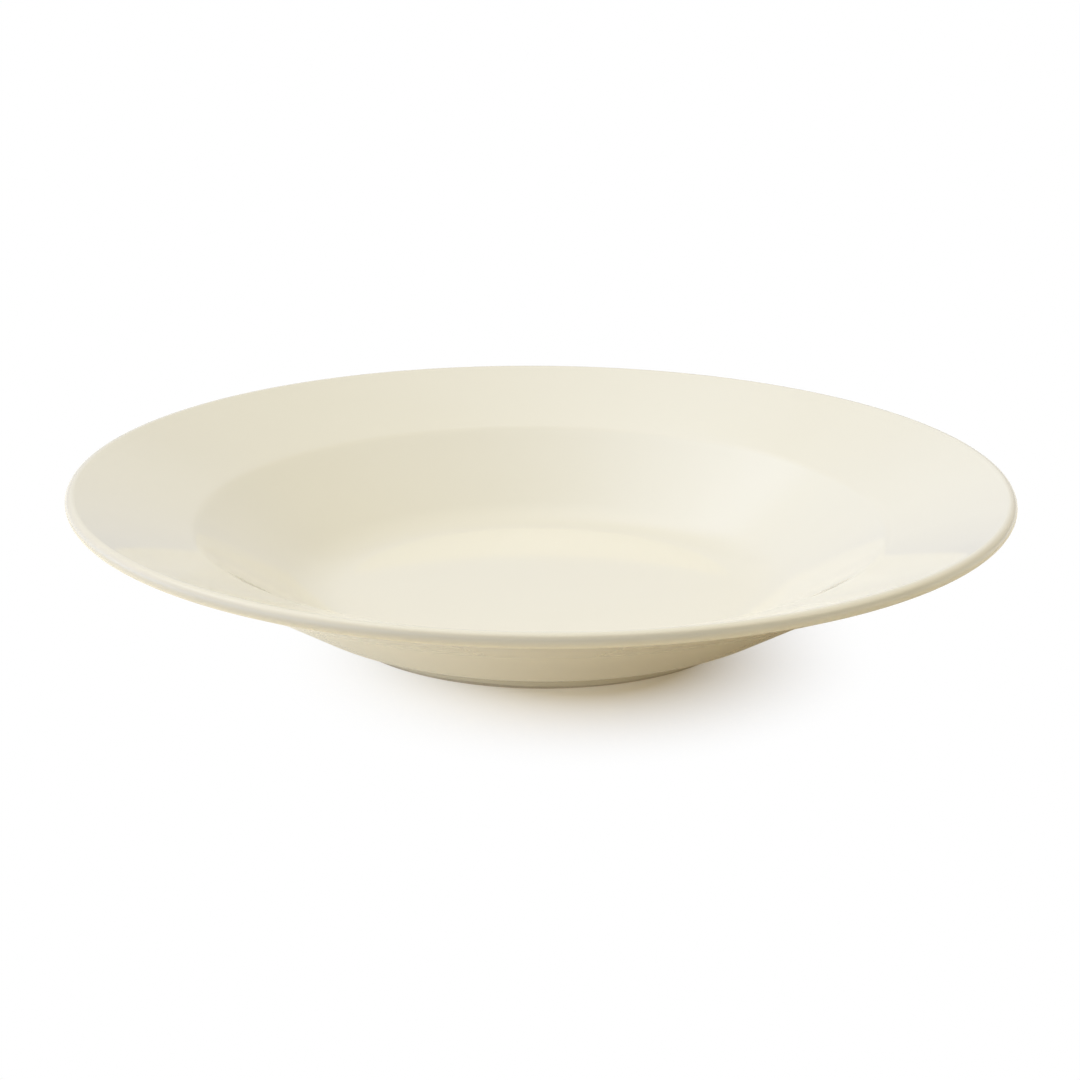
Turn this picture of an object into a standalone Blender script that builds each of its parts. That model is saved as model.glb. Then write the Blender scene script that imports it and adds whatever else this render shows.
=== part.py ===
"""Wide-rimmed pasta bowl: a fired clay body, the glaze coat over it and the glaze inside its foot ring.

Metres, +Z up. The origin is on the table, under the middle of the foot ring.
"""
import math

import bpy

# Rim and flange of the glazed bowl, slopes in degrees above level
RIM_DIAMETER = 0.3050
HEIGHT = 0.0482
LIP_THICKNESS = 0.0046
FLANGE_SLOPE = 20.5

# Well: the crease is where the flange turns down, the floor is flat
WELL_DIAMETER = 0.2246
WALL_AT_CREASE = 0.0071
WALL_AT_FLOOR = 0.0052
FLOOR_REACH = 0.0064

# Base and foot ring: the floor reaches past the foot, the foot leans out as it rises
BASE_THICKNESS = 0.0052
RECESS_DEPTH = 0.0040
FOOT_DIAMETER = 0.1362
FOOT_WIDTH = 0.0064
FOOT_RISE = 0.0050
FOOT_DRAFT = 8.0
UNDERSIDE_SLOPE = 8.0

# Radii of the rounded corners
FLOOR_CORNER = 0.0150
CREASE_CORNER = 0.0070
SHOULDER_CORNER = 0.0200
HAUNCH_CORNER = 0.0300
FOOT_COVE = 0.0018
FOOT_EDGE = 0.0012
RECESS_COVE = 0.0024

# Glaze: its thickness, the gap that keeps it a piece of its own, and the bare height of the foot
GLAZE_THICKNESS = 0.0004
GLAZE_GAP = 0.0003
BARE_FOOT = 0.0010

# Linear colour and roughness of each finish
CLAY_COLOUR = (0.66, 0.59, 0.48)
CLAY_ROUGHNESS = 0.75
COAT_COLOUR = (0.83, 0.77, 0.64)
COAT_ROUGHNESS = 0.08
RECESS_COLOUR = (0.80, 0.74, 0.61)
RECESS_ROUGHNESS = 0.12

# Fineness of the turned surface: facets in a full turn, and how far an arc's chord may leave the arc
TURN_FACETS = 72
CHORD_ERROR = 0.00005
MERGE_DISTANCE = 0.00001

# Order of the profile's corners, from the floor's centre over the lip to the base's centre
(FLOOR_CENTRE, FLOOR_EDGE, CREASE, LIP_TOP, LIP_BOTTOM, SHOULDER, HAUNCH, FOOT_TOP,
 FOOT_OUTER, FOOT_INNER, RECESS_EDGE, RECESS_CENTRE) = range(12)


def slope_of(degrees):
    """Unit direction that rises outwards at this many degrees."""
    angle = math.radians(degrees)
    return (math.cos(angle), math.sin(angle))


def stepped(point, direction, distance):
    return (point[0] + direction[0] * distance, point[1] + direction[1] * distance)


def towards(start, end):
    length = math.dist(start, end)
    return ((end[0] - start[0]) / length, (end[1] - start[1]) / length)


def inward(direction):
    """Normal of a profile edge that points into the clay, which lies to the right of the path."""
    return (direction[1], -direction[0])


def cross(a, b):
    return a[0] * b[1] - a[1] * b[0]


def meeting(point_a, along_a, point_b, along_b):
    """Where two lines, each given by a point and a direction, meet."""
    between = (point_b[0] - point_a[0], point_b[1] - point_a[1])
    return stepped(point_a, along_a, cross(between, along_b) / cross(along_a, along_b))


def glazed_corners():
    """Sharp corners of the glazed surface as (radius, height), and the rounding of each."""
    lip_radius = LIP_THICKNESS / 2
    lip_middle = (RIM_DIAMETER / 2 - lip_radius, HEIGHT - lip_radius)
    flange = slope_of(FLANGE_SLOPE)
    flange_top = stepped(lip_middle, inward(flange), -lip_radius)

    upright = (0.0, 1.0)
    foot_radius = FOOT_DIAMETER / 2
    floor_centre = (0.0, RECESS_DEPTH + BASE_THICKNESS)
    floor_edge = (foot_radius + FLOOR_REACH, floor_centre[1])
    crease = meeting(flange_top, flange, (WELL_DIAMETER / 2, 0.0), upright)

    well_wall = towards(floor_edge, crease)
    wall_low = stepped(floor_edge, inward(well_wall), WALL_AT_FLOOR)
    under_crease = towards(crease, stepped(stepped(crease, inward(well_wall), 1.0), inward(flange), 1.0))
    shoulder = stepped(crease, under_crease, WALL_AT_CREASE)
    wall = towards(wall_low, shoulder)

    lip_rise = math.atan2(lip_middle[1] - shoulder[1], lip_middle[0] - shoulder[0])
    under_slope = math.degrees(lip_rise - math.asin(lip_radius / math.dist(shoulder, lip_middle)))
    lip_axis = slope_of((FLANGE_SLOPE + under_slope) / 2)
    lip_end = stepped(lip_middle, lip_axis, lip_radius)
    lip_top = meeting(flange_top, flange, lip_end, inward(lip_axis))
    lip_bottom = meeting(shoulder, slope_of(under_slope), lip_end, inward(lip_axis))

    foot_lean = math.tan(math.radians(FOOT_DRAFT))
    foot_top = (foot_radius + FOOT_RISE * foot_lean, FOOT_RISE)
    haunch = meeting(foot_top, slope_of(UNDERSIDE_SLOPE), wall_low, wall)
    foot_outer = (foot_radius, 0.0)
    foot_inner = (foot_radius - FOOT_WIDTH, 0.0)
    recess_edge = (foot_inner[0] - RECESS_DEPTH * foot_lean, RECESS_DEPTH)
    recess_centre = (0.0, RECESS_DEPTH)

    corners = [floor_centre, floor_edge, crease, lip_top, lip_bottom, shoulder, haunch, foot_top,
               foot_outer, foot_inner, recess_edge, recess_centre]
    rounding = [0.0, FLOOR_CORNER, CREASE_CORNER, lip_radius, lip_radius, SHOULDER_CORNER, HAUNCH_CORNER,
                FOOT_COVE, FOOT_EDGE, FOOT_EDGE, RECESS_COVE, 0.0]
    return corners, rounding


def sunk_corners(corners, depth):
    """The corners with every edge moved into the clay, apart from the bare edge that meets the table."""
    edges = []
    for index in range(len(corners) - 1):
        along = towards(corners[index], corners[index + 1])
        shift = 0.0 if index == FOOT_OUTER else depth
        edges.append((stepped(corners[index], inward(along), shift), along))
    sunk = [(0.0, edges[0][0][1])]
    for before, after in zip(edges, edges[1:]):
        sunk.append(meeting(*before, *after))
    sunk.append((0.0, edges[-1][0][1]))
    return sunk


def cut_at_height(start, end, height):
    """Point of the edge at this height."""
    along = towards(start, end)
    return stepped(start, along, (height - start[1]) / along[1])


def rounded(corners, rounding, depth=0.0):
    """Profile points with each corner turned into an arc. A sunk outside corner gets a smaller arc, a
    sunk inside corner a larger one, and no arc takes more than half of an edge."""
    points = [corners[0]]
    for index in range(1, len(corners) - 1):
        corner = corners[index]
        before = towards(corners[index - 1], corner)
        after = towards(corner, corners[index + 1])
        turn = math.atan2(cross(before, after), before[0] * after[0] + before[1] * after[1])
        half_tangent = math.tan(abs(turn) / 2)
        room = min(math.dist(corners[index - 1], corner), math.dist(corner, corners[index + 1])) / 2
        radius = rounding[index] + math.copysign(depth, turn)
        radius = min(radius, room / half_tangent)
        start = stepped(corner, before, -radius * half_tangent)
        side = math.copysign(1.0, turn)
        centre = stepped(start, inward(before), -side * radius)
        step = 2 * math.acos(1 - CHORD_ERROR / rounding[index])
        count = max(2, math.ceil(abs(turn) / step))
        for number in range(count + 1):
            angle = turn * number / count
            arm = (start[0] - centre[0], start[1] - centre[1])
            point = (centre[0] + arm[0] * math.cos(angle) - arm[1] * math.sin(angle),
                     centre[1] + arm[0] * math.sin(angle) + arm[1] * math.cos(angle))
            if math.dist(points[-1], point) > MERGE_DISTANCE:
                points.append(point)
    points.append(corners[-1])
    return points


def finish(name, colour, roughness):
    material = bpy.data.materials.new(name)
    material.use_nodes = True
    shader = material.node_tree.nodes["Principled BSDF"]
    shader.inputs["Base Color"].default_value = (*colour, 1.0)
    shader.inputs["Roughness"].default_value = roughness
    shader.inputs["Metallic"].default_value = 0.0
    return material


def turned(name, profile, material):
    """A piece turned on the wheel: the profile at +X swept once around the Z axis."""
    mesh = bpy.data.meshes.new(name)
    points = [(radius, 0.0, height) for radius, height in profile]
    links = [(index, index + 1) for index in range(len(points) - 1)]
    mesh.from_pydata(points, links, [])
    mesh.materials.append(material)
    piece = bpy.data.objects.new(name, mesh)
    bpy.context.scene.collection.objects.link(piece)
    sweep = piece.modifiers.new("turning", "SCREW")
    sweep.axis = "Z"
    sweep.angle = math.tau
    sweep.steps = TURN_FACETS
    sweep.render_steps = TURN_FACETS
    sweep.use_merge_vertices = True
    sweep.merge_threshold = MERGE_DISTANCE
    sweep.use_smooth_shade = True
    return piece


def clay_profile(corners, rounding):
    depth = GLAZE_THICKNESS + GLAZE_GAP
    return rounded(sunk_corners(corners, depth), rounding, depth)


def coat_profile(corners, rounding):
    """Glaze from the floor's centre over the lip and down to the bare foot, then back along the clay."""
    sunk = sunk_corners(corners, GLAZE_THICKNESS)
    outside = corners[:FOOT_OUTER]
    outside.append(cut_at_height(corners[FOOT_TOP], corners[FOOT_OUTER], BARE_FOOT))
    inside = sunk[:FOOT_OUTER]
    inside.append(cut_at_height(sunk[FOOT_TOP], sunk[FOOT_OUTER], BARE_FOOT))
    return rounded(outside, rounding) + rounded(inside, rounding, GLAZE_THICKNESS)[::-1]


def recess_profile(corners, rounding):
    """Glaze inside the foot ring: along the clay from the centre out, then back along its bare face."""
    sunk = sunk_corners(corners, GLAZE_THICKNESS)
    exposed = [cut_at_height(corners[FOOT_INNER], corners[RECESS_EDGE], BARE_FOOT)]
    exposed += corners[RECESS_EDGE:]
    against = [cut_at_height(sunk[FOOT_INNER], sunk[RECESS_EDGE], BARE_FOOT)]
    against += sunk[RECESS_EDGE:]
    radii = rounding[FOOT_INNER:]
    return rounded(against, radii, GLAZE_THICKNESS)[::-1] + rounded(exposed, radii)


def main():
    for thing in list(bpy.data.objects):
        bpy.data.objects.remove(thing, do_unlink=True)
    corners, rounding = glazed_corners()
    fired_clay = finish("fired_clay", CLAY_COLOUR, CLAY_ROUGHNESS)
    ivory_glaze = finish("ivory_glaze", COAT_COLOUR, COAT_ROUGHNESS)
    foot_glaze = finish("foot_glaze", RECESS_COLOUR, RECESS_ROUGHNESS)
    turned("clay_body", clay_profile(corners, rounding), fired_clay)
    turned("glaze_coat", coat_profile(corners, rounding), ivory_glaze)
    turned("base_glaze", recess_profile(corners, rounding), foot_glaze)


main()
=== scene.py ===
"""Ivory glazed china pasta bowl on white studio paper. Metres, +Z up, the foot ring on the table at z = 0."""
import math

import bpy
import numpy as np
from mathutils import Matrix, Vector


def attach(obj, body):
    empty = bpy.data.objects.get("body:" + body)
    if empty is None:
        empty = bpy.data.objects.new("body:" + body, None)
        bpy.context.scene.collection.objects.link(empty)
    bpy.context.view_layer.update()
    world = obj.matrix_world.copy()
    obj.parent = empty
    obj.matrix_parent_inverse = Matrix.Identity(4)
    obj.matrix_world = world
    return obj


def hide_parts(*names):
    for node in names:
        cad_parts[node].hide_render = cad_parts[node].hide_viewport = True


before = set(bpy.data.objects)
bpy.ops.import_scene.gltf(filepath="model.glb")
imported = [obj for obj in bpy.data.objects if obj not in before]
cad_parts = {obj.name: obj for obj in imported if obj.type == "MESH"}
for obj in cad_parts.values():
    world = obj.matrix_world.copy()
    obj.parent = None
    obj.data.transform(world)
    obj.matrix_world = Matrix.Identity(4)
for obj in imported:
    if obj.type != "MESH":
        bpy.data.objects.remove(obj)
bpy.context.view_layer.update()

MM = 0.001

# Sizes of the glazed bowl, in metres and degrees. They are the solids' own, apart from the corners of the
# floor and the crease, which are rounder here
RIM_DIAMETER = 305.0 * MM
HEIGHT = 48.2 * MM
LIP_THICKNESS = 4.6 * MM
FLANGE_SLOPE = 20.5
WELL_DIAMETER = 224.6 * MM
WALL_AT_CREASE = 7.1 * MM
WALL_AT_FLOOR = 5.2 * MM
FLOOR_REACH = 6.4 * MM
BASE_THICKNESS = 5.2 * MM
RECESS_DEPTH = 4.0 * MM
FOOT_DIAMETER = 136.2 * MM
FOOT_WIDTH = 6.4 * MM
FOOT_RISE = 5.0 * MM
FOOT_DRAFT = 8.0
UNDERSIDE_SLOPE = 8.0
FLOOR_CORNER = 32.0 * MM
CREASE_CORNER = 15.0 * MM
SHOULDER_CORNER = 20.0 * MM
HAUNCH_CORNER = 30.0 * MM
FOOT_COVE = 1.8 * MM
FOOT_EDGE = 1.2 * MM
RECESS_COVE = 2.4 * MM

# Glaze: its thickness, its clearance from the clay, and the bare height of the foot. A corner of the pooling
# radius or less gathers or sheds the most glaze. On top of the lip the thin, darker tone leans outwards onto
# the lip's outer face, partly a real thinning of the glaze and partly painted shade there
GLAZE_THICKNESS = 0.4 * MM
CLAY_CLEARANCE = 0.02 * MM
BARE_FOOT = 1.0 * MM
POOLING_RADIUS = 2.0 * MM
LIP_SHADE_LEAN = 2
GLAZE_IOR = 1.5

# Firing: the sag of the lip goes between nothing and about twice this, two times around
RIM_SAG = 0.10 * MM
SAG_PHASE = 0.7
SAG_LEVEL = 1.02

# Sponged glaze edge: its waves as turns, phase and share, their height, and how far along the foot they reach
WIPED_WAVES = ((3, 0.4, 1.0), (7, 1.9, 0.6), (16, 0.0, 0.4))
WIPED_HEIGHT = 0.16 * MM
WIPED_REACH = 1.6 * MM
WIPED_MARGIN = 1.5 * MM

# Fineness: facets in a full turn, degrees between the points of an arc, and the length between the points of
# a straight. The glaze is coarser where it lies against the clay
TURN_FACETS = 288
ARC_STEP = 2.5
BODY_ARC_STEP = 4.0
HIDDEN_ARC_STEP = 12.0
FEWEST_ARC_STEPS = 8
STRAIGHT_STEP = 5 * MM
HIDDEN_STRAIGHT_STEP = 8 * MM
SAME_PLACE = 0.001 * MM

# Order of the outline's corners, from the floor's centre over the lip to the base's centre
(FLOOR_CENTRE, FLOOR_EDGE, CREASE, LIP_TOP, LIP_BOTTOM, SHOULDER, HAUNCH, FOOT_TOP,
 FOOT_OUTER, FOOT_INNER, RECESS_EDGE, RECESS_CENTRE) = range(12)

# Studio floor, and the camera, with its height and aim found from the rim, crease and foot in the photograph
FLOOR_HALF = 5.0
CAMERA_DISTANCE = 0.85056
CAMERA_ELEVATION = 19.3377
AIM_UP = 1.6886
AIM_RIGHT = -0.0196
CAMERA_ROLL = 0.4025
LENS_MM = 85.769
SENSOR_MM = 36.0


def linear(hex_colour):
    """Linear RGBA of an sRGB hex colour."""
    channels = [int(hex_colour[i:i + 2], 16) / 255 for i in (1, 3, 5)]
    return (*[c / 12.92 if c <= 0.04045 else ((c + 0.055) / 1.055) ** 2.4 for c in channels], 1.0)


def slope_of(degrees):
    """Unit direction that rises outwards at this many degrees."""
    angle = math.radians(degrees)
    return np.array([math.cos(angle), math.sin(angle)])


def unit(vector):
    return vector / np.linalg.norm(vector)


def into_clay(direction):
    """The side of an outline edge that the clay is on, which is the right of the path."""
    return np.array([direction[1], -direction[0]])


def cross(a, b):
    return a[0] * b[1] - a[1] * b[0]


def meeting(point_a, along_a, point_b, along_b):
    """Where two lines, each given by a point and a direction, meet."""
    return point_a + along_a * (cross(point_b - point_a, along_b) / cross(along_a, along_b))


def at_height(start, end, height):
    """Point at this height on the line through two corners."""
    along = unit(end - start)
    return start + along * (height - start[1]) / along[1]


def bowl_corners():
    """Sharp corners of the glazed outline as (radius, height), and the rounding of each."""
    lip_radius = LIP_THICKNESS / 2
    lip_middle = np.array([RIM_DIAMETER / 2 - lip_radius, HEIGHT - lip_radius])
    flange = slope_of(FLANGE_SLOPE)
    flange_top = lip_middle - into_clay(flange) * lip_radius
    foot_radius = FOOT_DIAMETER / 2
    floor_centre = np.array([0.0, RECESS_DEPTH + BASE_THICKNESS])
    floor_edge = np.array([foot_radius + FLOOR_REACH, floor_centre[1]])
    crease = meeting(flange_top, flange, np.array([WELL_DIAMETER / 2, 0.0]), np.array([0.0, 1.0]))
    well_wall = unit(crease - floor_edge)
    wall_low = floor_edge + into_clay(well_wall) * WALL_AT_FLOOR
    shoulder = crease + unit(into_clay(well_wall) + into_clay(flange)) * WALL_AT_CREASE
    to_lip = lip_middle - shoulder
    below_middle = math.asin(lip_radius / np.linalg.norm(to_lip))
    under_slope = math.degrees(math.atan2(to_lip[1], to_lip[0]) - below_middle)
    lip_axis = slope_of((FLANGE_SLOPE + under_slope) / 2)
    lip_end = lip_middle + lip_axis * lip_radius
    lip_top = meeting(flange_top, flange, lip_end, into_clay(lip_axis))
    lip_bottom = meeting(shoulder, slope_of(under_slope), lip_end, into_clay(lip_axis))
    foot_lean = math.tan(math.radians(FOOT_DRAFT))
    foot_top = np.array([foot_radius + FOOT_RISE * foot_lean, FOOT_RISE])
    haunch = meeting(foot_top, slope_of(UNDERSIDE_SLOPE), wall_low, unit(shoulder - wall_low))
    foot_outer = np.array([foot_radius, 0.0])
    foot_inner = np.array([foot_radius - FOOT_WIDTH, 0.0])
    recess_edge = np.array([foot_inner[0] - RECESS_DEPTH * foot_lean, RECESS_DEPTH])
    recess_centre = np.array([0.0, RECESS_DEPTH])
    corners = [floor_centre, floor_edge, crease, lip_top, lip_bottom, shoulder, haunch, foot_top,
               foot_outer, foot_inner, recess_edge, recess_centre]
    rounding = [0.0, FLOOR_CORNER, CREASE_CORNER, lip_radius, lip_radius, SHOULDER_CORNER, HAUNCH_CORNER,
                FOOT_COVE, FOOT_EDGE, FOOT_EDGE, RECESS_COVE, 0.0]
    return corners, rounding


def sunk_corners(corners, depth):
    """The corners with every edge moved into the clay, apart from the bare edge that meets the table."""
    edges = []
    for index in range(len(corners) - 1):
        along = unit(corners[index + 1] - corners[index])
        shift = 0.0 if index == FOOT_OUTER else depth
        edges.append((corners[index] + into_clay(along) * shift, along))
    sunk = [np.array([0.0, edges[0][0][1]])]
    sunk += [meeting(*before, *after) for before, after in zip(edges, edges[1:])]
    sunk.append(np.array([0.0, edges[-1][0][1]]))
    return sunk


def outline(corners, rounding, depth=0.0, arc_step=ARC_STEP, straight_step=STRAIGHT_STEP):
    """Points of the rounded outline, with the glaze's pooling at each: above 0 in an inside corner, where it
    runs together, and below 0 on an outside corner, where it pulls thin. On top of the lip the thin part also
    stands for painted shade on the lip's outer face, and the lip's lower corner gets none."""
    points = [corners[0]]
    pooling = [0.0]

    def straight_to(end):
        start = points[-1]
        count = max(1, math.ceil(np.linalg.norm(end - start) / straight_step))
        for number in range(1, count + 1):
            points.append(start + (end - start) * number / count)
            pooling.append(0.0)

    for index in range(1, len(corners) - 1):
        before = unit(corners[index] - corners[index - 1])
        after = unit(corners[index + 1] - corners[index])
        turn = math.atan2(cross(before, after), float(before @ after))
        side = math.copysign(1.0, turn)
        half_tangent = math.tan(abs(turn) / 2)
        shorter = min(np.linalg.norm(corners[index] - corners[index - 1]),
                      np.linalg.norm(corners[index + 1] - corners[index]))
        radius = min(rounding[index] + side * depth, shorter / 2 / half_tangent)
        start = corners[index] - before * radius * half_tangent
        centre = start - into_clay(before) * side * radius
        if np.linalg.norm(start - points[-1]) > SAME_PLACE:
            straight_to(start)
        arm = start - centre
        count = max(FEWEST_ARC_STEPS, math.ceil(math.degrees(abs(turn)) / arc_step))
        # The lip's lower corner keeps the plain tone, and the thin tone on the lip's top leans outwards:
        # partly real thin glaze, partly painted shade on the lip's outer face
        gathering = 0.0 if index == LIP_BOTTOM else min(1.0, POOLING_RADIUS / radius)
        lean = LIP_SHADE_LEAN if index == LIP_TOP else 1
        for number in range(1, count + 1):
            angle = turn * number / count
            turned = np.array([arm[0] * math.cos(angle) - arm[1] * math.sin(angle),
                               arm[0] * math.sin(angle) + arm[1] * math.cos(angle)])
            points.append(centre + turned)
            pooling.append(side * gathering * math.sin(math.pi * (number / count) ** lean))
    straight_to(corners[-1])
    return np.array(points), np.array(pooling)


def glaze_coat_outline(corners, rounding):
    """The coat from the floor's centre over the lip to its wiped edge on the foot, and back along the clay."""
    sunk = sunk_corners(corners, GLAZE_THICKNESS)
    outer_edge = at_height(corners[FOOT_TOP], corners[FOOT_OUTER], BARE_FOOT)
    inner_edge = at_height(sunk[FOOT_TOP], sunk[FOOT_OUTER], BARE_FOOT - GLAZE_THICKNESS / 2)
    outside = outline(corners[:FOOT_OUTER] + [outer_edge], rounding)
    inside = outline(sunk[:FOOT_OUTER] + [inner_edge], rounding, GLAZE_THICKNESS,
                     HIDDEN_ARC_STEP, HIDDEN_STRAIGHT_STEP)
    return tuple(np.concatenate([a, b[::-1]]) for a, b in zip(outside, inside))


def base_glaze_outline(corners, rounding):
    """The glaze inside the foot ring, along the clay from the centre out and back along its open face."""
    sunk = sunk_corners(corners, GLAZE_THICKNESS)
    open_edge = at_height(corners[FOOT_INNER], corners[RECESS_EDGE], BARE_FOOT)
    clay_edge = at_height(sunk[FOOT_INNER], sunk[RECESS_EDGE], BARE_FOOT - GLAZE_THICKNESS / 2)
    radii = rounding[FOOT_INNER:]
    open_face = outline([open_edge] + corners[RECESS_EDGE:], radii)
    clay_face = outline([clay_edge] + sunk[RECESS_EDGE:], radii, GLAZE_THICKNESS,
                        HIDDEN_ARC_STEP, HIDDEN_STRAIGHT_STEP)
    return tuple(np.concatenate([a[::-1], b]) for a, b in zip(clay_face, open_face))


def fired_sag(radius, angle):
    """How far the rim sank in the kiln: nothing inside the foot ring and up to 0.2 mm at the lip."""
    foot_radius = FOOT_DIAMETER / 2 + FOOT_RISE
    reach = max(0.0, radius - foot_radius) / (RIM_DIAMETER / 2 - foot_radius)
    return RIM_SAG * reach ** 2 * (math.cos(2 * angle + SAG_PHASE) - SAG_LEVEL)


def wiped_line(angle):
    """Height that the sponged glaze edge on the foot wanders by, around the turn."""
    return WIPED_HEIGHT * sum(share * math.sin(turns * angle + phase) for turns, phase, share in WIPED_WAVES)


def turned_piece(name, points, pooling, edge_height=None):
    """A piece swept around the Z axis from its outline, with the pooling kept on its points. edge_height is
    the height of a wiped glaze edge that wanders."""
    places = []
    rings = []
    pools = []
    for (radius, height), pool in zip(points, pooling):
        count = 1 if radius < SAME_PLACE else TURN_FACETS
        rings.append(range(len(places), len(places) + count))
        on_foot = radius < FOOT_DIAMETER / 2 + WIPED_MARGIN and height < FOOT_RISE
        for number in range(count):
            angle = math.tau * number / TURN_FACETS
            lift = fired_sag(radius, angle)
            if edge_height is not None and on_foot:
                nearness = max(0.0, 1 - abs(height - edge_height) / WIPED_REACH)
                lift += wiped_line(angle) * nearness
            places.append((radius * math.cos(angle), radius * math.sin(angle), height + lift))
            pools.append(pool)
    faces = []
    for ring, following in zip(rings, rings[1:]):
        for number in range(TURN_FACETS):
            after = (number + 1) % TURN_FACETS
            if len(ring) == 1:
                faces.append((ring[0], following[number], following[after]))
            elif len(following) == 1:
                faces.append((ring[number], following[0], ring[after]))
            else:
                faces.append((ring[number], following[number], following[after], ring[after]))
    mesh = bpy.data.meshes.new(name)
    mesh.from_pydata(places, [], faces)
    mesh.attributes.new("glaze_pooling_and_lip_shade", "FLOAT", "POINT").data.foreach_set("value", pools)
    mesh.polygons.foreach_set("use_smooth", [True] * len(faces))
    piece = bpy.data.objects.new(name, mesh)
    bpy.context.scene.collection.objects.link(piece)
    return piece


def add_node(tree, kind, settings=(), links=()):
    """Adds a shader node, sets its properties or inputs by name, and links its inputs by name."""
    node = tree.nodes.new(kind)
    for name, value in dict(settings).items():
        if isinstance(name, str) and hasattr(node, name):
            setattr(node, name, value)
        else:
            node.inputs[name].default_value = value
    for name, source in dict(links).items():
        tree.links.new(source, node.inputs[name])
    return node


def new_finish(name):
    material = bpy.data.materials.new(name)
    material.use_nodes = True
    material.node_tree.nodes.clear()
    return material, material.node_tree


def glaze_finish(name, plain, pooled, thin, roughness):
    """Fired feldspar glaze: coloured glass about 0.4 mm thick, smooth from melting. The eye gets sharp
    reflections that waver a little, and an even ivory that shifts where the melt ran together in a corner and
    where it pulled thin over an edge. On the lip the darker thin tone is partly real thin glaze and partly
    painted shade."""
    cloud_size = 45 * MM
    cloud_depth = 0.12
    ripple_size = 7 * MM
    ripple_height = 0.1 * MM
    ripple_strength = 0.02
    sheen_size = 18 * MM
    sheen_change = 0.2
    material, tree = new_finish(name)
    place = add_node(tree, "ShaderNodeTexCoord").outputs["Object"]
    pooling = add_node(tree, "ShaderNodeAttribute", {"attribute_name": "glaze_pooling_and_lip_shade"}).outputs["Fac"]
    cloud = add_node(tree, "ShaderNodeTexNoise", {"Scale": 1 / cloud_size, "Detail": 2.0}, {"Vector": place})
    cloudiness = add_node(tree, "ShaderNodeMapRange", {"To Min": -cloud_depth, "To Max": cloud_depth},
                          {"Value": cloud.outputs["Fac"]})
    depth = add_node(tree, "ShaderNodeMath", {"operation": "ADD"},
                     {0: pooling, 1: cloudiness.outputs["Result"]})
    tone_place = add_node(tree, "ShaderNodeMapRange", {"From Min": -1.0, "From Max": 1.0},
                          {"Value": depth.outputs["Value"]})
    tone = add_node(tree, "ShaderNodeValToRGB", {}, {"Fac": tone_place.outputs["Result"]})
    ramp = tone.color_ramp
    ramp.elements[0].position = 0.0
    ramp.elements[0].color = linear(thin)
    ramp.elements[1].position = 1.0
    ramp.elements[1].color = linear(pooled)
    ramp.elements.new(0.5).color = linear(plain)
    ripple = add_node(tree, "ShaderNodeTexNoise", {"Scale": 1 / ripple_size, "Detail": 1.0},
                      {"Vector": place})
    surface = add_node(tree, "ShaderNodeBump", {"Strength": ripple_strength, "Distance": ripple_height},
                       {"Height": ripple.outputs["Fac"]})
    sheen = add_node(tree, "ShaderNodeTexNoise", {"Scale": 1 / sheen_size, "Detail": 3.0}, {"Vector": place})
    gloss = add_node(tree, "ShaderNodeMapRange", {"To Min": roughness * (1 - sheen_change),
                                                  "To Max": roughness * (1 + sheen_change)},
                     {"Value": sheen.outputs["Fac"]})
    shader = add_node(tree, "ShaderNodeBsdfPrincipled", {"IOR": GLAZE_IOR},
                      {"Base Color": tone.outputs["Color"], "Roughness": gloss.outputs["Result"],
                       "Normal": surface.outputs["Normal"]})
    add_node(tree, "ShaderNodeOutputMaterial", {}, {"Surface": shader.outputs["BSDF"]})
    return material


def bare_clay_finish(name):
    """Vitrified china clay with no glaze, ground flat after firing. The eye gets a dry, chalky off-white with
    fine grit and faint grey rub marks where the foot has stood."""
    # Grit is about 0.1 mm in the clay, drawn at 0.6 mm so that it shows
    grit_size = 0.6 * MM
    grit_height = 0.08 * MM
    grit_strength = 0.35
    grit_darkening = 0.15
    rub_size = 9 * MM
    rubbed = (0.30, "#D6CCB8")
    clean = (0.62, "#E6DDCA")
    smoothest = 0.65
    driest = 0.9
    clay_ior = 1.5
    material, tree = new_finish(name)
    place = add_node(tree, "ShaderNodeTexCoord").outputs["Object"]
    grit = add_node(tree, "ShaderNodeTexNoise", {"Scale": 1 / grit_size, "Detail": 4.0}, {"Vector": place})
    rub = add_node(tree, "ShaderNodeTexNoise", {"Scale": 1 / rub_size, "Detail": 5.0, "Roughness": 0.7},
                   {"Vector": place})
    tone = add_node(tree, "ShaderNodeValToRGB", {}, {"Fac": rub.outputs["Fac"]})
    for stop, (position, colour) in zip(tone.color_ramp.elements, (rubbed, clean)):
        stop.position = position
        stop.color = linear(colour)
    speck = add_node(tree, "ShaderNodeMix",
                     {"data_type": "RGBA", "blend_type": "MULTIPLY", "Factor": grit_darkening},
                     {"A": tone.outputs["Color"], "B": grit.outputs["Color"]})
    surface = add_node(tree, "ShaderNodeBump", {"Strength": grit_strength, "Distance": grit_height},
                       {"Height": grit.outputs["Fac"]})
    dryness = add_node(tree, "ShaderNodeMapRange", {"To Min": smoothest, "To Max": driest},
                       {"Value": rub.outputs["Fac"]})
    shader = add_node(tree, "ShaderNodeBsdfPrincipled", {"IOR": clay_ior},
                      {"Base Color": speck.outputs["Result"], "Roughness": dryness.outputs["Result"],
                       "Normal": surface.outputs["Normal"]})
    add_node(tree, "ShaderNodeOutputMaterial", {}, {"Surface": shader.outputs["BSDF"]})
    return material


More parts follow.
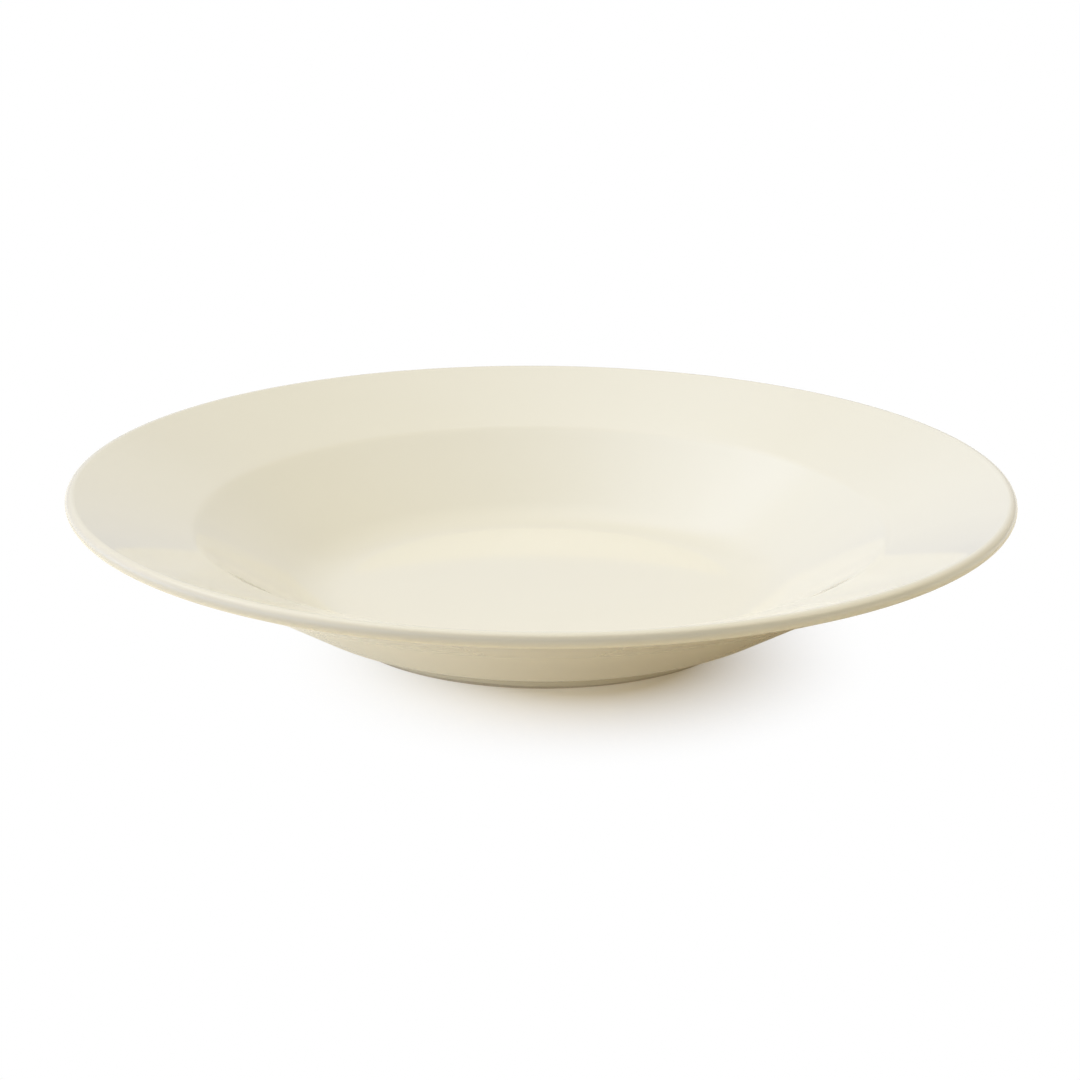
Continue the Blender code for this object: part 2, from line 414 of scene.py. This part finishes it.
def floor_finish(name):
    """White studio paper, matt, with a painted glow: the paper emits light under the bowl in place of light
    bounced onto the bowl's underside, cool on the left, warm on the right, and weaker below the foot as a
    painted contact shadow. The eye gets a soft warm shadow close to the foot and nothing but white beyond it."""
    paper_colour = linear("#EFE5CE")
    # Painted glow, light that the paper emits under the bowl in place of bounced light: its middle, where it
    # starts to fade, where it ends, and its radiance
    glow_middle = (-80 * MM, 0.0, 0.0)
    glow_full = 90 * MM
    glow_end = 210 * MM
    glow_radiance = 0.345
    # Painted contact shadow: what is left of the glow below the foot, and the distances from the bowl's middle
    # over which it recovers
    foot_shadow_share = 0.70
    foot_from = 66 * MM
    foot_to = 88 * MM
    # Painted bounce colour: the glow is cool on the left and warm on the right, between these sideways places
    cool_at = -80 * MM
    warm_at = 110 * MM
    cool_tint = linear("#F0F8FF")
    warm_tint = linear("#FFE9B8")
    # The shadow shows in a patch a little right of the foot, longer from front to back, with round ends
    patch_right = 11 * MM
    patch_half_length = 35.5 * MM
    patch_full = 36 * MM
    patch_end = 96.5 * MM
    # In the glaze's reflections the paper turns to white over these distances from the bowl's middle
    white_from = 200 * MM
    white_full = 450 * MM

    material, tree = new_finish(name)
    paper = add_node(tree, "ShaderNodeBsdfDiffuse", {"Color": paper_colour})
    place = add_node(tree, "ShaderNodeTexCoord").outputs["Object"]
    away = add_node(tree, "ShaderNodeVectorMath", {"operation": "LENGTH"}, {0: place}).outputs["Value"]
    from_glow = add_node(tree, "ShaderNodeVectorMath", {"operation": "DISTANCE", 1: glow_middle},
                         {0: place}).outputs["Value"]
    painted_glow_level = add_node(tree, "ShaderNodeMapRange",
                          {"interpolation_type": "SMOOTHSTEP", "From Min": glow_full, "From Max": glow_end,
                           "To Min": glow_radiance, "To Max": 0.0}, {"Value": from_glow})
    # Painted contact shadow: the glow is cut below the foot
    painted_foot_shadow = add_node(tree, "ShaderNodeMapRange",
                           {"From Min": foot_from, "From Max": foot_to, "To Min": foot_shadow_share},
                           {"Value": away})
    level = add_node(tree, "ShaderNodeMath", {"operation": "MULTIPLY"},
                     {0: painted_glow_level.outputs["Result"], 1: painted_foot_shadow.outputs["Result"]})
    side = add_node(tree, "ShaderNodeSeparateXYZ", {}, {"Vector": place}).outputs["X"]
    to_right = add_node(tree, "ShaderNodeMapRange", {"From Min": cool_at, "From Max": warm_at},
                        {"Value": side})
    tint = add_node(tree, "ShaderNodeMix", {"data_type": "RGBA", "A": cool_tint, "B": warm_tint},
                    {"Factor": to_right.outputs["Result"]})
    # Painted glow: the paper gives off light here, tinted like bounced light
    glow = add_node(tree, "ShaderNodeEmission", {},
                    {"Color": tint.outputs["Result"], "Strength": level.outputs["Value"]})
    paper_and_painted_glow = add_node(tree, "ShaderNodeAddShader", {},
                         {0: paper.outputs["BSDF"], 1: glow.outputs["Emission"]})
    white = add_node(tree, "ShaderNodeEmission", {"Strength": 1.0})

    reach = place
    for operation, amount in (("SUBTRACT", (patch_right, 0, 0)), ("ABSOLUTE", (0, 0, 0)),
                              ("SUBTRACT", (0, patch_half_length, 0)), ("MAXIMUM", (0, 0, 0))):
        reach = add_node(tree, "ShaderNodeVectorMath", {"operation": operation, 1: amount},
                         {0: reach}).outputs["Vector"]
    reach = add_node(tree, "ShaderNodeVectorMath", {"operation": "LENGTH"}, {0: reach}).outputs["Value"]
    shade = add_node(tree, "ShaderNodeMapRange", {"From Min": patch_end, "From Max": patch_full},
                     {"Value": reach}).outputs["Result"]
    shade = add_node(tree, "ShaderNodeMath", {"operation": "MULTIPLY"}, {0: shade, 1: shade}).outputs["Value"]
    unshaded = add_node(tree, "ShaderNodeMath", {"operation": "SUBTRACT", 0: 1.0}, {1: shade})
    far = add_node(tree, "ShaderNodeMapRange",
                   {"interpolation_type": "SMOOTHSTEP", "From Min": white_from, "From Max": white_full},
                   {"Value": away})
    path = add_node(tree, "ShaderNodeLightPath")
    in_camera = add_node(tree, "ShaderNodeMath", {"operation": "MULTIPLY"},
                         {0: path.outputs["Is Camera Ray"], 1: unshaded.outputs["Value"]})
    mirrored = add_node(tree, "ShaderNodeMath", {"operation": "MAXIMUM"},
                        {0: path.outputs["Is Glossy Ray"], 1: path.outputs["Is Transmission Ray"]})
    in_mirror = add_node(tree, "ShaderNodeMath", {"operation": "MULTIPLY"},
                         {0: mirrored.outputs["Value"], 1: far.outputs["Result"]})
    seen_white = add_node(tree, "ShaderNodeMath", {"operation": "MAXIMUM"},
                          {0: in_camera.outputs["Value"], 1: in_mirror.outputs["Value"]})
    surface = add_node(tree, "ShaderNodeMixShader", {},
                       {0: seen_white.outputs["Value"], 1: paper_and_painted_glow.outputs["Shader"],
                        2: white.outputs["Emission"]})
    add_node(tree, "ShaderNodeOutputMaterial", {}, {"Surface": surface.outputs["Shader"]})
    # The floor is far wider than its glow, so the glow is found by the light that bounces
    material.cycles.emission_sampling = "NONE"
    return material


def studio_surround(name):
    """A wide, warm ceiling light with a cooler patch left of its middle, a tall diffuser on the left, white
    paper behind the bowl and an unlit room behind the camera, all with soft edges. The ceiling is laid out on
    a level plane, in heights of that plane above the table."""
    lowest_rise = 0.05
    world = bpy.data.worlds.new(name)
    world.use_nodes = True
    tree = world.node_tree
    tree.nodes.clear()
    direction = add_node(tree, "ShaderNodeTexCoord").outputs["Generated"]
    right, back, up = add_node(tree, "ShaderNodeSeparateXYZ", {}, {"Vector": direction}).outputs
    rise = add_node(tree, "ShaderNodeMath", {"operation": "MAXIMUM", 1: lowest_rise},
                    {0: up}).outputs["Value"]
    across = add_node(tree, "ShaderNodeMath", {"operation": "DIVIDE"}, {0: right, 1: rise}).outputs["Value"]
    along = add_node(tree, "ShaderNodeMath", {"operation": "DIVIDE"}, {0: back, 1: rise}).outputs["Value"]

    def panel(colour, radiance, edges):
        """An evenly lit area that fades out over each edge, given as what is measured, where it has gone to
        nothing and where it is full."""
        strength = None
        for measure, nothing, full in edges:
            level = 1.0 if strength else radiance
            fade = add_node(tree, "ShaderNodeMapRange",
                            {"interpolation_type": "SMOOTHSTEP", "From Min": nothing, "From Max": full,
                             "To Max": level}, {"Value": measure}).outputs["Result"]
            strength = fade if strength is None else add_node(
                tree, "ShaderNodeMath", {"operation": "MULTIPLY"}, {0: strength, 1: fade}).outputs["Value"]
        return add_node(tree, "ShaderNodeBackground", {"Color": linear(colour)},
                        {"Strength": strength}).outputs["Background"]

    light = panel("#FFFBEC", 2.59, ((across, -1.35, -0.8), (across, 2.4, 1.0), (along, -0.46, -0.20),
                                   (along, 1.8, -0.76), (up, 0.02, 0.25)))
    cool_patch = panel("#C5D5FF", 0.97, ((across, 0.2, -0.35), (across, -1.3, -0.7), (along, -0.1, 0.25),
                                        (along, 1.1, 0.6)))
    diffuser = panel("#D7E2FF", 1.60, ((right, 0.0, -0.6), (back, -1.0, -0.45), (back, 1.0, 0.1),
                                      (up, 1.0, 0.5)))
    paper = panel("#EEF1FF", 0.61, ((back, -0.05, 0.45), (up, 0.8, 0.4)))
    for extra in (diffuser, paper, cool_patch):
        light = add_node(tree, "ShaderNodeAddShader", {}, {0: light, 1: extra}).outputs["Shader"]
    add_node(tree, "ShaderNodeOutputWorld", {}, {"Surface": light})
    return world


corners, rounding = bowl_corners()
seat = GLAZE_THICKNESS + CLAY_CLEARANCE

glaze = turned_piece("ivory_glaze_coat", *glaze_coat_outline(corners, rounding), BARE_FOOT)
# The thin tone, darker than the plain, is partly real thin glaze and partly painted shade on the lip
glaze.data.materials.append(glaze_finish("ivory_feldspar_glaze", plain="#EFE9D6", pooled="#E6DDC3",
                                         thin="#EAE1C9", roughness=0.05))
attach(glaze, "root")
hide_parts("glaze_coat")

recess = turned_piece("foot_recess_glaze", *base_glaze_outline(corners, rounding), BARE_FOOT)
recess.data.materials.append(glaze_finish("foot_recess_feldspar_glaze", plain="#E9E0C9", pooled="#DFD3B4",
                                          thin="#EFE8D8", roughness=0.07))
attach(recess, "root")
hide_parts("base_glaze")

clay_outline = outline(sunk_corners(corners, seat), rounding, seat, BODY_ARC_STEP)
body = turned_piece("china_clay_body", *clay_outline)
body.data.materials.append(bare_clay_finish("bare_vitrified_china"))
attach(body, "root")
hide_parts("clay_body")

# Floor and light
floor_mesh = bpy.data.meshes.new("studio_floor")
floor_mesh.from_pydata([(-FLOOR_HALF, -FLOOR_HALF, 0), (FLOOR_HALF, -FLOOR_HALF, 0),
                        (FLOOR_HALF, FLOOR_HALF, 0), (-FLOOR_HALF, FLOOR_HALF, 0)], [], [(0, 1, 2, 3)])
floor = bpy.data.objects.new("studio_floor", floor_mesh)
bpy.context.scene.collection.objects.link(floor)
floor_mesh.materials.append(floor_finish("white_studio_paper"))
bpy.context.scene.world = studio_surround("studio_surround")

# Camera
rise = math.radians(CAMERA_ELEVATION)
eye = Vector((0.0, -CAMERA_DISTANCE * math.cos(rise), CAMERA_DISTANCE * math.sin(rise)))
ahead = -eye.normalized()
level_right = Vector((1.0, 0.0, 0.0))
ahead = ahead + level_right * math.tan(math.radians(AIM_RIGHT)) \
    + level_right.cross(ahead) * math.tan(math.radians(AIM_UP))
ahead.normalize()
rightward = ahead.cross(Vector((0, 0, 1))).normalized()
upward = rightward.cross(ahead)
roll = math.radians(CAMERA_ROLL)
rolled_right = rightward * math.cos(roll) + upward * math.sin(roll)
rolled_up = upward * math.cos(roll) - rightward * math.sin(roll)
camera_data = bpy.data.cameras.new("studio_camera")
camera_data.lens = LENS_MM
camera_data.sensor_width = SENSOR_MM
camera = bpy.data.objects.new("studio_camera", camera_data)
camera.matrix_world = Matrix((
    (rolled_right.x, rolled_up.x, -ahead.x, eye.x),
    (rolled_right.y, rolled_up.y, -ahead.y, eye.y),
    (rolled_right.z, rolled_up.z, -ahead.z, eye.z),
    (0, 0, 0, 1)))
bpy.context.scene.collection.objects.link(camera)
bpy.context.scene.camera = camera
bpy.context.scene.view_settings.view_transform = "Standard"
